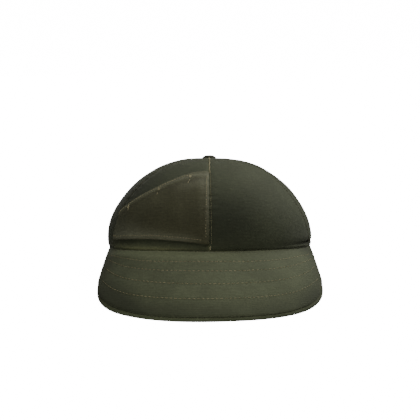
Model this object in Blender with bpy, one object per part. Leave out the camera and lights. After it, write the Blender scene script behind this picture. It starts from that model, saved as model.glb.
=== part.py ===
"""A soft canvas cap that rests on a table as it would by itself.

Six sewn panels make the crown, a covered button closes the top, a patch of thinner
canvas crosses one front panel, and a curved peak of two cloths is sewn to the front
of the rim. Metres, +Z up. The wearer looks along -Y, so +X is the wearer's left.
"""
import math

import bmesh
import bpy
import numpy as np

# Crown, outside sizes at the rim
HALF_WIDTH = 0.0853
HALF_LENGTH = 0.0975
CROWN_HEIGHT = 0.0712
CANVAS = 0.002
SEAM_GAP = 0.0003
SIDE_SEAM_TURN = 62.0
PATCHED_SEAM_TURN = 57.5
BACK_SEAM_TURN = 121.0
RIM_TUCK = 0.0012
WIDEST_HEIGHT = 0.003
TOP_SHIFT = 0.003
TOP_TILT = 4.0
TOP_HOLE = 0.003
TOP_DIMPLE = 0.001
DIMPLE_RADIUS = 0.012
BACK_DIP = 0.006
FRONT_SQUARENESS = 2.5
BACK_SQUARENESS = 2.2
TOP_SQUARENESS = 2.05
SEAM_DEPTH = 0.0004
SEAM_WIDTH = 0.0035

# Peak
PEAK_CLOTH = 0.0015
PEAK_REACH = 0.062
PEAK_HALF_WIDTH = 0.0881
PEAK_END_TURN = 70.0
PEAK_END_WIDTH = 0.0012
PEAK_CORNER = 0.0037
PEAK_SQUARENESS = 2.05
PEAK_SLOPE = 26.4
PEAK_BEND = 0.0936
PEAK_RISE = 0.0006
UNDER_PROUD = 0.0008

# Patch on the wearer's right front panel
PATCH_CLOTH = 0.001
LIP_THICKNESS = 0.0008
LIP_WIDTH = 0.0035

# Covered button
BUTTON_RADIUS = 0.0062
BUTTON_HEIGHT = 0.003
SHANK_CLEARANCE = 0.0006

# The button's side and top, as shares of its radius and its height
BUTTON_PROFILE = (
    (0.92, 0.0),
    (1.00, 0.22),
    (0.94, 0.52),
    (0.74, 0.82),
    (0.42, 0.96),
    (0.00, 1.0),
)

# How far the cloth flattens where it rests
SETTLE = 0.0006

# Share of the way up that the upright wall over the rim takes
WALL_SHARE = 0.06
# The share of the peak's edge, from its middle, that is its rounded front
FRONT_SHARE = 0.57
# How quickly the edge draws in behind its widest place
EDGE_DRAW = 0.85

# Folds of the crown. Turn and reach are degrees round from the front, rise and its
# reach are shares of the way up, and push is a share of CROWN_HEIGHT, outwards.
FOLD_COLUMNS = ("turn", "rise", "turn_reach", "rise_reach", "push")
FOLDS = (
    (0.0, 0.30, 46.0, 0.22, 0.024),
    (58.0, 0.085, 24.0, 0.030, -0.018),
    (-68.0, 0.075, 16.0, 0.028, -0.012),
    (140.0, 0.45, 30.0, 0.20, -0.014),
)

# Lower and upper edge of the patch, as shares of the way up, at shares of the way
# from the middle seam to the side seam
PATCH_COLUMNS = ("across", "lower", "upper")
PATCH_EDGES = (
    (0.00, 0.083, 0.628),
    (0.11, 0.095, 0.628),
    (0.20, 0.104, 0.614),
    (0.30, 0.111, 0.592),
    (0.45, 0.118, 0.541),
    (0.60, 0.115, 0.478),
    (0.74, 0.110, 0.413),
    (0.91, 0.101, 0.328),
    (1.00, 0.096, 0.277),
)

# Where the panels have their columns, as shares of the panel's width
PANEL_COLUMNS = (0.0, 0.035, 0.09, 0.19, 0.31, 0.435, 0.565, 0.69, 0.81, 0.91, 0.965, 1.0)
DOME_ROWS = 15
PEAK_COLUMNS = 34
PEAK_ROWS = 7
PATCH_ACROSS = 14
PATCH_ROWS = (0.0, 0.04, 0.14, 0.26, 0.38, 0.5, 0.62, 0.74, 0.85, 0.93, 1.0)
BUTTON_SIDES = 24

HEM_DEPTH = (2 * PEAK_CLOTH + SEAM_GAP) / math.cos(math.radians(PEAK_SLOPE))


def clear_scene():
    for obj in list(bpy.data.objects):
        bpy.data.objects.remove(obj, do_unlink=True)


def ease(value):
    """0 below 0, 1 above 1, and a soft step between."""
    value = min(max(value, 0.0), 1.0)
    return value * value * (3.0 - 2.0 * value)


# The crown's outline and its domed surface

def outline_radius(turn, lift):
    """Distance from the crown's axis to its outline, squarer at the rim than on top."""
    forward = math.cos(turn)
    rim = FRONT_SQUARENESS if forward > 0 else BACK_SQUARENESS
    power = rim + (TOP_SQUARENESS - rim) * lift
    side = (abs(math.sin(turn)) / HALF_WIDTH) ** power
    ahead = (abs(forward) / HALF_LENGTH) ** power
    return (side + ahead) ** (-1.0 / power)


def rim_line(turn):
    """Height of the seam between crown and peak; behind the peak the rim dips."""
    end = math.radians(PEAK_END_TURN)
    way = max(abs(turn) - end, 0.0) / (math.pi - end)
    return -BACK_DIP * (1.0 - math.cos(math.pi * way)) / 2.0


def hem_point(turn, outwards=0.0):
    """A point in plan on the outside of the crown's lower edge."""
    radius = outline_radius(turn, 0.0) - RIM_TUCK + outwards
    return np.array([radius * math.sin(turn), -radius * math.cos(turn)])


def crown_level(turn, rise):
    """Height over the rim seam, and distance from the crown's axis, above the seam."""
    if rise < WALL_SHARE:
        way = rise / WALL_SHARE
        height = WIDEST_HEIGHT * way
        radius = outline_radius(turn, height / CROWN_HEIGHT) - RIM_TUCK * (1.0 - way) ** 2
        return height, radius, 1.0
    climb = (rise - WALL_SHARE) / (1.0 - WALL_SHARE) * math.pi / 2.0
    height = WIDEST_HEIGHT + (CROWN_HEIGHT - WIDEST_HEIGHT) * math.sin(climb)
    share = math.cos(climb)
    return height, outline_radius(turn, height / CROWN_HEIGHT) * share, share


def crown_shell(turn, rise):
    """A point on the smooth crown. Rise is -1 at the hem, 0 at the rim seam, 1 on top."""
    if rise < 0.0:
        x, y = hem_point(turn)
        return np.array([x, y, rim_line(turn) + rise * HEM_DEPTH])
    height, radius, share = crown_level(turn, rise)
    lift = height / CROWN_HEIGHT
    x = radius * math.sin(turn)
    y = -radius * math.cos(turn) + TOP_SHIFT * (1.0 - share)
    z = height + rim_line(turn) * (1.0 - lift) ** 2
    z -= math.tan(math.radians(TOP_TILT)) * y * lift ** 2
    z -= TOP_DIMPLE * math.exp(-(radius / DIMPLE_RADIUS) ** 2)
    return np.array([x, y, z])


def crown_normal(turn, rise):
    step = 1e-4
    along = crown_shell(turn + step, rise) - crown_shell(turn - step, rise)
    if rise < WALL_SHARE:
        up = np.array([0.0, 0.0, 1.0])
        along[2] = 0.0
    else:
        up = crown_shell(turn, min(rise + step, 1.0)) - crown_shell(turn, rise)
    normal = np.cross(along, up)
    return normal / np.linalg.norm(normal)


def fold_push(turn, rise):
    """How far the named folds push the cloth outwards; nothing at the rim seam."""
    push = 0.0
    for row in FOLDS:
        fold = dict(zip(FOLD_COLUMNS, row))
        across = (math.degrees(turn) - fold["turn"] + 180.0) % 360.0 - 180.0
        across /= fold["turn_reach"]
        up = (rise - fold["rise"]) / fold["rise_reach"]
        push += fold["push"] * CROWN_HEIGHT * math.exp(-across ** 2 - up ** 2)
    return push * ease(rise / WALL_SHARE)


def crown_point(turn, rise, outwards=0.0):
    normal = crown_normal(turn, rise)
    return crown_shell(turn, rise) + normal * (fold_push(turn, rise) + outwards)


def top_rise():
    """The rise at which the crown's dome has narrowed to the hole under the button."""
    climb = math.acos(min(TOP_HOLE / HALF_WIDTH, 1.0))
    return WALL_SHARE + (1.0 - WALL_SHARE) * climb / (math.pi / 2.0)


# Closed solids from grids of points

def solid_between(name, outside, inside, material):
    """A closed solid between two grids of points of the same size."""
    rows = len(outside)
    columns = len(outside[0])
    mesh_data = bmesh.new()
    grids = []
    for grid in (outside, inside):
        grids.append([[mesh_data.verts.new(point) for point in line] for line in grid])
    top, bottom = grids
    for i in range(rows - 1):
        for j in range(columns - 1):
            mesh_data.faces.new((top[i][j], top[i][j + 1], top[i + 1][j + 1], top[i + 1][j]))
            mesh_data.faces.new((bottom[i + 1][j], bottom[i + 1][j + 1], bottom[i][j + 1], bottom[i][j]))
    for i in range(rows - 1):
        for j in (0, columns - 1):
            mesh_data.faces.new((top[i][j], top[i + 1][j], bottom[i + 1][j], bottom[i][j]))
    for j in range(columns - 1):
        for i in (0, rows - 1):
            mesh_data.faces.new((top[i][j], top[i][j + 1], bottom[i][j + 1], bottom[i][j]))
    return finish_object(name, mesh_data, material)


def finish_object(name, mesh_data, material):
    bmesh.ops.recalc_face_normals(mesh_data, faces=mesh_data.faces[:])
    mesh = bpy.data.meshes.new(name)
    mesh_data.to_mesh(mesh)
    mesh_data.free()
    mesh.shade_smooth()
    mesh.set_sharp_from_angle(angle=math.radians(40.0))
    mesh.materials.append(material)
    obj = bpy.data.objects.new(name, mesh)
    bpy.context.scene.collection.objects.link(obj)
    return obj


def cloth_material(name, colour, roughness):
    material = bpy.data.materials.new(name)
    material.use_nodes = True
    shader = material.node_tree.nodes["Principled BSDF"]
    shader.inputs["Base Color"].default_value = (*colour, 1.0)
    shader.inputs["Roughness"].default_value = roughness
    shader.inputs["Metallic"].default_value = 0.0
    return material


# Crown panels

def panel_rises():
    dome = np.linspace(WALL_SHARE, top_rise(), DOME_ROWS)
    return [-1.0, 0.0, WALL_SHARE / 2.0, *dome]


def panel_turns(start, end, rise):
    """The panel's columns at one row, half a seam gap inside its two seams."""
    radius = crown_level((start + end) / 2.0, max(rise, 0.0))[1]
    inset = math.asin(min(SEAM_GAP / 2.0 / radius, 0.5))
    first, last = start + inset, end - inset
    return [first + (last - first) * share for share in PANEL_COLUMNS], radius


def seam_sink(share, width):
    """The cloth dips towards the seams at both edges of a panel."""
    reach = min(share, 1.0 - share) * width / SEAM_WIDTH
    return -SEAM_DEPTH * (1.0 - ease(reach))


def make_panel(name, start, end, material):
    outside, inside = [], []
    for rise in panel_rises():
        turns, radius = panel_turns(start, end, rise)
        width = radius * (end - start)
        sinks = [seam_sink(share, width) * ease(rise / WALL_SHARE) for share in PANEL_COLUMNS]
        outside.append([crown_point(turn, rise, sink) for turn, sink in zip(turns, sinks)])
        inside.append([crown_point(turn, rise, sink - CANVAS) for turn, sink in zip(turns, sinks)])
    return solid_between(name, outside, inside, material)


def make_panels(material):
    """The side seam that catches the patch sits a little further forward."""
    left, right = math.radians(SIDE_SEAM_TURN), math.radians(PATCHED_SEAM_TURN)
    back = math.radians(BACK_SEAM_TURN)
    spans = (("front_panel", (0.0, left), (0.0, right)),
             ("side_panel", (left, back), (right, back)),
             ("back_panel", (back, math.pi), (back, math.pi)))
    panels = []
    for name, left_span, right_span in spans:
        panels.append(make_panel(name + "_left", *left_span, material))
        panels.append(make_panel(name + "_right", -right_span[1], -right_span[0], material))
    return panels


# Patch

def patch_edge(across, column):
    shares = [row[0] for row in PATCH_EDGES]
    return float(np.interp(across, shares, [row[column] for row in PATCH_EDGES]))


def make_patch(material):
    """Sewn into the middle and side seams, with a folded lip along its upper edge."""
    lower = PATCH_COLUMNS.index("lower")
    upper = PATCH_COLUMNS.index("upper")
    inset = math.asin(SEAM_GAP / outline_radius(0.0, 1.0))
    near, far = -inset, -math.radians(PATCHED_SEAM_TURN) + inset
    outside, inside = [], []
    for up in PATCH_ROWS:
        outer_line, inner_line = [], []
        for column in range(PATCH_ACROSS + 1):
            across = column / PATCH_ACROSS
            turn = near + (far - near) * across
            low, high = patch_edge(across, lower), patch_edge(across, upper)
            rise = low + (high - low) * up
            tall = (high - low) * (CROWN_HEIGHT + HALF_WIDTH) / 2.0 * math.pi / 2.0
            lip = LIP_THICKNESS * ease(1.5 - (1.0 - up) * tall / LIP_WIDTH)
            outer_line.append(crown_point(turn, rise, SEAM_GAP + PATCH_CLOTH + lip))
            inner_line.append(crown_point(turn, rise, SEAM_GAP))
        outside.append(outer_line)
        inside.append(inner_line)
    return solid_between("front_patch", outside, inside, material)


# Peak

def peak_end():
    """Where the peak's outer edge ends, just outside the rim."""
    return hem_point(math.radians(PEAK_END_TURN), SEAM_GAP + PEAK_END_WIDTH)


def peak_edge(station):
    """The peak's outer edge in plan; station runs from -1 to 1."""
    side = abs(station)
    widest_y = -HALF_LENGTH + PEAK_CORNER
    if side < FRONT_SHARE:
        angle = side / FRONT_SHARE * math.pi / 2.0
        reach = PEAK_REACH + PEAK_CORNER
        power = PEAK_SQUARENESS
        radius = ((math.sin(angle) / PEAK_HALF_WIDTH) ** power
                  + (math.cos(angle) / reach) ** power) ** (-1.0 / power)
        x = radius * math.sin(angle)
        y = widest_y - radius * math.cos(angle)
    else:
        back = (side - FRONT_SHARE) / (1.0 - FRONT_SHARE)
        end_x, end_y = peak_end()
        x = PEAK_HALF_WIDTH - (PEAK_HALF_WIDTH - end_x) * back ** EDGE_DRAW
        y = widest_y + (end_y - widest_y) * back
    return np.array([math.copysign(x, station), y])


def peak_edge_height(x, y):
    """The edge falls away ahead of the rim, and sags to both sides."""
    def middle(at_y):
        ahead = -HALF_LENGTH - at_y
        fall = math.tan(math.radians(PEAK_SLOPE)) * PEAK_BEND
        return PEAK_RISE - fall * (math.exp(ahead / PEAK_BEND) - 1.0)
    end_x, end_y = peak_end()
    return middle(y) - middle(end_y) * (x / end_x) ** 2


def peak_surface(station, out):
    """The upper face: out is 0 at the rim seam and 1 at the edge."""
    end = math.radians(PEAK_END_TURN)
    inner = hem_point(station * end, SEAM_GAP)
    outer = peak_edge(station)
    x, y = inner + (outer - inner) * out
    curl = PEAK_REACH / PEAK_BEND
    fall = (math.exp(curl * out) - 1.0) / (math.exp(curl) - 1.0)
    return np.array([x, y, peak_edge_height(*outer) * fall])


def peak_uprightness(station, out):
    """The upward part of the surface's normal, for walls of an even thickness."""
    step = 1e-3
    along = peak_surface(min(station + step, 1.0), out) - peak_surface(max(station - step, -1.0), out)
    away = peak_surface(station, out + step) - peak_surface(station, out)
    normal = np.cross(along, away)
    return max(abs(normal[2]) / np.linalg.norm(normal), 0.5)


def make_peak_cloth(name, above, proud, material):
    """One cloth of the peak, its upper face a given depth under the peak's surface."""
    outside, inside = [], []
    for row in range(PEAK_ROWS + 1):
        outer_line, inner_line = [], []
        for column in range(PEAK_COLUMNS + 1):
            station = -1.0 + 2.0 * column / PEAK_COLUMNS
            length = np.linalg.norm(peak_edge(station) - hem_point(station * math.radians(PEAK_END_TURN)))
            out = row / PEAK_ROWS * (1.0 + proud / length)
            point = peak_surface(station, out)
            upright = peak_uprightness(station, out)
            outer_line.append(point - (0.0, 0.0, above / upright))
            inner_line.append(point - (0.0, 0.0, (above + PEAK_CLOTH) / upright))
        outside.append(outer_line)
        inside.append(inner_line)
    return solid_between(name, outside, inside, material)


# Button

def make_button(material):
    """A covered button, its shank through the hole where the panels meet."""
    shank = TOP_HOLE - SHANK_CLEARANCE
    profile = [(0.0, -CANVAS), (shank, -CANVAS), (shank, SEAM_GAP)]
    profile += [(out * BUTTON_RADIUS, SEAM_GAP + up * BUTTON_HEIGHT) for out, up in BUTTON_PROFILE]
    lean = math.radians(TOP_TILT)
    centre = crown_shell(0.0, 1.0)
    mesh_data = bmesh.new()
    points = [mesh_data.verts.new((radius, 0.0, height)) for radius, height in profile]
    edges = [mesh_data.edges.new(pair) for pair in zip(points, points[1:])]
    bmesh.ops.spin(mesh_data, geom=points + edges, cent=(0, 0, 0), axis=(0, 0, 1),
                   angle=2.0 * math.pi, steps=BUTTON_SIDES, use_merge=True)
    bmesh.ops.remove_doubles(mesh_data, verts=mesh_data.verts[:], dist=1e-6)
    for vert in mesh_data.verts:
        x, y, z = vert.co
        vert.co = (x, centre[1] + y * math.cos(lean) + z * math.sin(lean),
                   centre[2] - y * math.sin(lean) + z * math.cos(lean))
    return finish_object("top_button", mesh_data, material)


# Resting place

def rest_on_table(pieces):
    """Tip the cap until its peak and the back of its rim touch, and flatten them there."""
    points = np.array([vert.co[:] for piece in pieces for vert in piece.data.vertices])
    front, back = points[points[:, 1] < 0.0], points[points[:, 1] >= 0.0]

    def heights(group, pitch):
        return group[:, 2] * math.cos(pitch) - group[:, 1] * math.sin(pitch)

    low, high = 0.0, math.radians(45.0)
    for _ in range(50):
        pitch = (low + high) / 2.0
        if heights(front, pitch).min() < heights(back, pitch).min():
            low = pitch
        else:
            high = pitch
    depth = points[:, 1] * math.cos(pitch) + points[:, 2] * math.sin(pitch)
    drop = heights(points, pitch).min() + SETTLE
    frame = bpy.data.objects.new("cap_rest", None)
    bpy.context.scene.collection.objects.link(frame)
    frame.rotation_euler = (-pitch, 0.0, 0.0)
    frame.location = (0.0, -(depth.min() + depth.max()) / 2.0, -drop)
    for piece in pieces:
        piece.parent = frame
    bpy.context.view_layer.update()
    back_to_cap = frame.matrix_world.inverted()
    for piece in pieces:
        for vert in piece.data.vertices:
            place = frame.matrix_world @ vert.co
            if place.z < 0.0:
                place.z = 0.0
                vert.co = back_to_cap @ place


def build():
    clear_scene()
    olive = cloth_material("crown_canvas", (0.050, 0.052, 0.033), 0.9)
    peak_olive = cloth_material("peak_canvas", (0.072, 0.075, 0.050), 0.9)
    taupe = cloth_material("patch_canvas", (0.062, 0.055, 0.037), 0.92)
    button_cloth = cloth_material("button_canvas", (0.045, 0.047, 0.030), 0.9)
    pieces = make_panels(olive)
    pieces.append(make_patch(taupe))
    pieces.append(make_peak_cloth("peak_top", 0.0, 0.0, peak_olive))
    pieces.append(make_peak_cloth("peak_under", PEAK_CLOTH + SEAM_GAP, UNDER_PROUD, peak_olive))
    pieces.append(make_button(button_cloth))
    rest_on_table(pieces)


build()
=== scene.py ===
import math

import bpy
import numpy as np
from mathutils import Matrix, Vector
from mathutils.bvhtree import BVHTree


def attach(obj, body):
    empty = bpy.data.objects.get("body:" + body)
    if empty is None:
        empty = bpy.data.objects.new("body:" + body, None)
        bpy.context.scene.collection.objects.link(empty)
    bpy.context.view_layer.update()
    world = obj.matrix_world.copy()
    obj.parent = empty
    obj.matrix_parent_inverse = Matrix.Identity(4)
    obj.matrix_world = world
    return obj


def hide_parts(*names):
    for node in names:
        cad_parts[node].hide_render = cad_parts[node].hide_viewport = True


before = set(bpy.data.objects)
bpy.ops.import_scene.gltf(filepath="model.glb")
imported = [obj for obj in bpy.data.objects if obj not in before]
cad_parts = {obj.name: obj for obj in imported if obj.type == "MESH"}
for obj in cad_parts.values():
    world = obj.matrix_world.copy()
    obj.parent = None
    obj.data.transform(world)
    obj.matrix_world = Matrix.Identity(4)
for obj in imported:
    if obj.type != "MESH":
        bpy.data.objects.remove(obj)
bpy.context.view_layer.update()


# The camera
# A long lens a little above the table looks straight at the front of the cap.
# The cap sits half a degree askew in its picture, so the camera is rolled by as much.

CAMERA_ELEVATION = math.radians(11.46)
CAMERA_DISTANCE = 1.4
CAMERA_ROLL = math.radians(-0.4)
CAMERA_TARGET = Vector((0.0004, 0.0345, 0.0524))
SENSOR_WIDTH = 36.0
LENS = 143.0

camera_data = bpy.data.cameras.new("camera")
camera_data.sensor_width = SENSOR_WIDTH
camera_data.lens = LENS
camera = bpy.data.objects.new("camera", camera_data)
bpy.context.scene.collection.objects.link(camera)
camera_back = CAMERA_DISTANCE * math.cos(CAMERA_ELEVATION)
camera_up = CAMERA_DISTANCE * math.sin(CAMERA_ELEVATION)
camera.location = CAMERA_TARGET + Vector((0.0, -camera_back, camera_up))
camera_tilt = Matrix.Rotation(math.pi / 2 - CAMERA_ELEVATION, 3, "X")
camera.rotation_euler = (camera_tilt @ Matrix.Rotation(CAMERA_ROLL, 3, "Z")).to_euler()
bpy.context.scene.camera = camera


# The table and the light
# A seamless white sweep stands under and behind the cap, bright enough to look white.
# Two large soft boxes hang over the cap, in front and behind on the right, and three
# weak ones fill from the right, from low in front and from low behind.

SWEEP_RADIUS = 7.0
SWEEP_BRIGHTNESS = 16.0
SWEEP_PAINT = (0.9, 0.9, 0.9, 1.0)
SWEEP_ROUGHNESS = 0.9
WHITE = (1.0, 1.0, 1.0, 1.0)
FLOOR_HEIGHT = -0.0004
SKY_BRIGHTNESS = 0.03


def sweep_material(name, brightness):
    material = bpy.data.materials.new(name)
    material.use_nodes = True
    shader = material.node_tree.nodes["Principled BSDF"]
    shader.inputs["Base Color"].default_value = SWEEP_PAINT
    shader.inputs["Roughness"].default_value = SWEEP_ROUGHNESS
    shader.inputs["Emission Color"].default_value = WHITE
    shader.inputs["Emission Strength"].default_value = brightness
    return material


def hide_from_light(piece):
    """The sweep is seen, but its glow doesn't light the cap from below."""
    piece.visible_diffuse = False
    piece.visible_glossy = False
    piece.visible_shadow = False


bpy.ops.object.select_all(action="DESELECT")
bpy.ops.mesh.primitive_circle_add(
    vertices=96, radius=SWEEP_RADIUS, fill_type="NGON", location=(0, 0, FLOOR_HEIGHT))
floor = bpy.context.object
floor.name = "floor"
bpy.ops.mesh.primitive_uv_sphere_add(
    segments=64, ring_count=32, radius=SWEEP_RADIUS, location=(0, 0, 0))
backdrop = bpy.context.object
backdrop.name = "backdrop"
for piece in (floor, backdrop):
    piece.data.materials.append(sweep_material(piece.name, SWEEP_BRIGHTNESS))
    hide_from_light(piece)

world = bpy.data.worlds.new("studio")
bpy.context.scene.world = world
world.use_nodes = True
sky = world.node_tree.nodes["Background"]
sky.inputs["Color"].default_value = WHITE
sky.inputs["Strength"].default_value = SKY_BRIGHTNESS

# Name, place, size and power in watts of each soft box, all aimed at the cap
SOFT_BOXES = (
    ("front_box", (0.20, -0.70, 1.20), 0.8, 6.7),
    ("back_box", (0.70, 0.50, 0.90), 1.0, 15.4),
    ("right_box", (1.20, 0.20, 0.90), 0.5, 0.8),
    ("low_box", (-0.50, -1.20, 0.10), 0.4, 4.6),
    ("rear_box", (-0.35, 1.40, 0.06), 0.3, 2.0),
)
for name, place, size, power in SOFT_BOXES:
    lamp = bpy.data.lights.new(name, "AREA")
    lamp.shape = "SQUARE"
    lamp.size = size
    lamp.energy = power
    box = bpy.data.objects.new(name, lamp)
    bpy.context.scene.collection.objects.link(box)
    box.location = place
    box.rotation_euler = (Vector(place) - CAMERA_TARGET).to_track_quat("Z", "Y").to_euler()


# The canvas
# Every piece is cotton canvas with a fine rib across it and here and there a thicker
# yarn. It is paler where it is handled, along folds and seams, and also where light is
# painted on it, and darker where shade is painted on it. Its pieces are cut from the
# same cloth, so one recipe makes all of them with other yarn colours.

class Shade:
    """A value in a material's node tree, for use in plain sums."""

    def __init__(self, tree, socket=None):
        self.tree = tree
        self.socket = socket

    def node(self, kind, settings, sockets, output=0):
        made = self.tree.nodes.new(kind)
        for name, setting in settings.items():
            setattr(made, name, setting)
        for place, value in sockets.items():
            if isinstance(value, Shade):
                self.tree.links.new(value.socket, made.inputs[place])
            else:
                made.inputs[place].default_value = value
        return Shade(self.tree, made.outputs[output])

    def sum_of(self, operation, first, second):
        return self.node("ShaderNodeMath", {"operation": operation}, {0: first, 1: second})

    def __add__(self, other):
        return self.sum_of("ADD", self, other)

    def __radd__(self, other):
        return self.sum_of("ADD", other, self)

    def __mul__(self, other):
        return self.sum_of("MULTIPLY", self, other)

    def __rmul__(self, other):
        return self.sum_of("MULTIPLY", other, self)

    def between(self, low, high):
        """0 up to low, 1 from high, and a soft step between."""
        settings = {"interpolation_type": "SMOOTHSTEP"}
        return self.node("ShaderNodeMapRange", settings, {0: self, 1: low, 2: high})

    def wave(self):
        return self.node("ShaderNodeMath", {"operation": "SINE"}, {0: self})

    def paint(self, first, second):
        """The first colour where this value is 0, the second where it is 1."""
        settings = {"data_type": "RGBA", "clamp_factor": True}
        return self.node("ShaderNodeMix", settings, {0: self, 6: first, 7: second}, output=2)


RIB_WIDTH = 0.00125
YARN_WIDTH = 0.00052
RIB_HEIGHT = 0.00007
YARN_HEIGHT = 0.00003
SLUB_HEIGHT = 0.00006
RIB_WAVER = 9.0

# Stretch, scale and detail of each unevenness of the cloth, and the range it is cut to
WEFT_SLUBS = ((1.0, 7.0, 1.0), 150.0, 2.0, 0.42, 0.72)
WARP_SLUBS = ((6.0, 1.0, 1.0), 120.0, 2.0, 0.45, 0.75)
PATCHINESS = ((1.0, 1.0, 1.0), 38.0, 3.0, 0.3, 0.7)
GRAIN = ((1.0, 1.0, 1.0), 1400.0, 2.0, 0.25, 0.75)
WAVER = ((1.0, 1.0, 1.0), 60.0, 1.0)
NOISE_ROUGHNESS = 0.6

# How much each adds to the shade, and the shade at which the cloth is at its palest
WEFT_SLUB_SHARE = 0.22
WARP_SLUB_SHARE = 0.12
PATCHY_SHARE = 0.22
GRAIN_SHARE = 0.30
PALEST_SHADE = 0.9

# Wear and painted light show in part evenly and in part on the ribs alone, and painted shade
# darkens the cloth towards a shadow colour
EVEN_PALE_SHARE = 0.45
PAINTED_SHADE_COVER = 0.8
PAINTED_SHADE_DARKNESS = 0.42

CANVAS_BUMP = 0.9
CANVAS_ROUGHNESS = 0.84
GRAIN_ROUGHNESS = 0.1
CANVAS_SPECULAR = 0.25
SHEEN_WEIGHT = 0.10
SHEEN_ROUGHNESS = 0.55
SHEEN_TINT = (0.75, 0.78, 0.6, 1.0)


def canvas(name, dark, pale, worn_and_lit, rib_share, slub_share):
    """Canvas woven of a dark and a pale yarn, with a worn colour for its edges that is also laid
    on as painted light, and a painted shade colour.
    """
    material = bpy.data.materials.new(name)
    material.use_nodes = True
    shader = material.node_tree.nodes["Principled BSDF"]
    start = Shade(material.node_tree)
    along = start.node("ShaderNodeUVMap", {"uv_map": "cloth"}, {})
    across = start.node("ShaderNodeSeparateXYZ", {}, {0: along}, output=0)
    up = start.node("ShaderNodeSeparateXYZ", {}, {0: along}, output=1)
    place = start.node("ShaderNodeTexCoord", {}, {}, output=3)

    def noise(vector, stretch, scale, detail):
        moved = start.node("ShaderNodeMapping", {}, {"Vector": vector, "Scale": stretch})
        sockets = {"Vector": moved, "Scale": scale, "Detail": detail, "Roughness": NOISE_ROUGHNESS}
        return start.node("ShaderNodeTexNoise", {}, sockets)

    def unevenness(vector, stretch, scale, detail, low, high):
        return noise(vector, stretch, scale, detail).between(low, high)

    slub = unevenness(along, *WEFT_SLUBS)
    warp_slub = unevenness(along, *WARP_SLUBS)
    patchy = unevenness(place, *PATCHINESS)
    grain = unevenness(place, *GRAIN)
    waver = noise(along, *WAVER)
    rib = (up * (2 * math.pi / RIB_WIDTH) + waver * RIB_WAVER).wave() * 0.5 + 0.5
    weft = (up * (2 * math.pi / YARN_WIDTH)).wave()
    warp = (across * (2 * math.pi / YARN_WIDTH)).wave()
    yarn = weft * warp * 0.5 + 0.5
    wear_and_painted_light = start.node("ShaderNodeAttribute", {"attribute_name": "wear_and_painted_light"}, {}, output=2)
    painted_shade = start.node("ShaderNodeAttribute", {"attribute_name": "painted_shade"}, {}, output=2)

    slubs = (slub * WEFT_SLUB_SHARE + warp_slub * WARP_SLUB_SHARE) * slub_share
    shade = rib * rib_share + slubs + patchy * PATCHY_SHARE + grain * GRAIN_SHARE
    colour = shade.between(0.0, PALEST_SHADE + rib_share).paint((*dark, 1.0), (*pale, 1.0))
    # Paler towards the worn colour where the cloth is worn and where light is painted on
    wear_and_light_cover = (wear_and_painted_light * (EVEN_PALE_SHARE + (1.0 - EVEN_PALE_SHARE) * (grain * rib))).between(0.0, 1.0)
    colour = wear_and_light_cover.paint(colour, (*worn_and_lit, 1.0))
    # Darker towards a shadow colour where shade is painted on
    shadow = tuple(PAINTED_SHADE_DARKNESS * value for value in dark)
    colour = (painted_shade * PAINTED_SHADE_COVER).paint(colour, (*shadow, 1.0))
    height = rib * RIB_HEIGHT + yarn * YARN_HEIGHT + slub * SLUB_HEIGHT
    sockets = {"Strength": CANVAS_BUMP, "Distance": 1.0, "Height": height}
    bump = start.node("ShaderNodeBump", {}, sockets)
    rough = CANVAS_ROUGHNESS + GRAIN_ROUGHNESS * grain
    for socket, value in (("Base Color", colour), ("Roughness", rough), ("Normal", bump)):
        material.node_tree.links.new(value.socket, shader.inputs[socket])
    shader.inputs["Sheen Weight"].default_value = SHEEN_WEIGHT
    shader.inputs["Sheen Roughness"].default_value = SHEEN_ROUGHNESS
    shader.inputs["Sheen Tint"].default_value = SHEEN_TINT
    shader.inputs["Specular IOR Level"].default_value = CANVAS_SPECULAR
    return material


# The crown
# Six gores of canvas sewn together, a little domed, soft, and resting on the back of
# its rim. The sewing draws the cloth in along the seams and leaves small puckers, and
# over the peak the crown sags into one soft fold on the wearer's left.

HALF_WIDTH = 0.0853
HALF_LENGTH = 0.0975
CROWN_HEIGHT = 0.0712
WIDEST_HEIGHT = 0.003
WALL_SHARE = 0.06
TOP_SHIFT = 0.003
TOP_TILT = math.radians(4.0)
BACK_DIP = 0.006
PEAK_END_TURN = math.radians(70.0)
HEM_DEPTH = 0.0037
CROWN_ARC = 0.135
SEAM_TURNS = np.radians([-180.0, -121.0, -57.5, 0.0, 62.0, 121.0, 180.0])
REST_PITCH = math.radians(8.680)
REST_PLACE = np.array([0.0, 0.034545, 0.023507])
TIP = np.array([[1.0, 0.0, 0.0],
                [0.0, math.cos(REST_PITCH), math.sin(REST_PITCH)],
                [0.0, -math.sin(REST_PITCH), math.cos(REST_PITCH)]])


# Rounds of subdivision, the angle up to which triangles are joined to quads, and the
# angles from which an edge is kept as a crease and is shaded sharp
ROUNDINGS = 3
QUAD_ANGLE = math.radians(60)
CREASE_ANGLE = math.radians(50)
SHARP_ANGLE = math.radians(40)
MERGE_REACH = 1e-6


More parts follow.
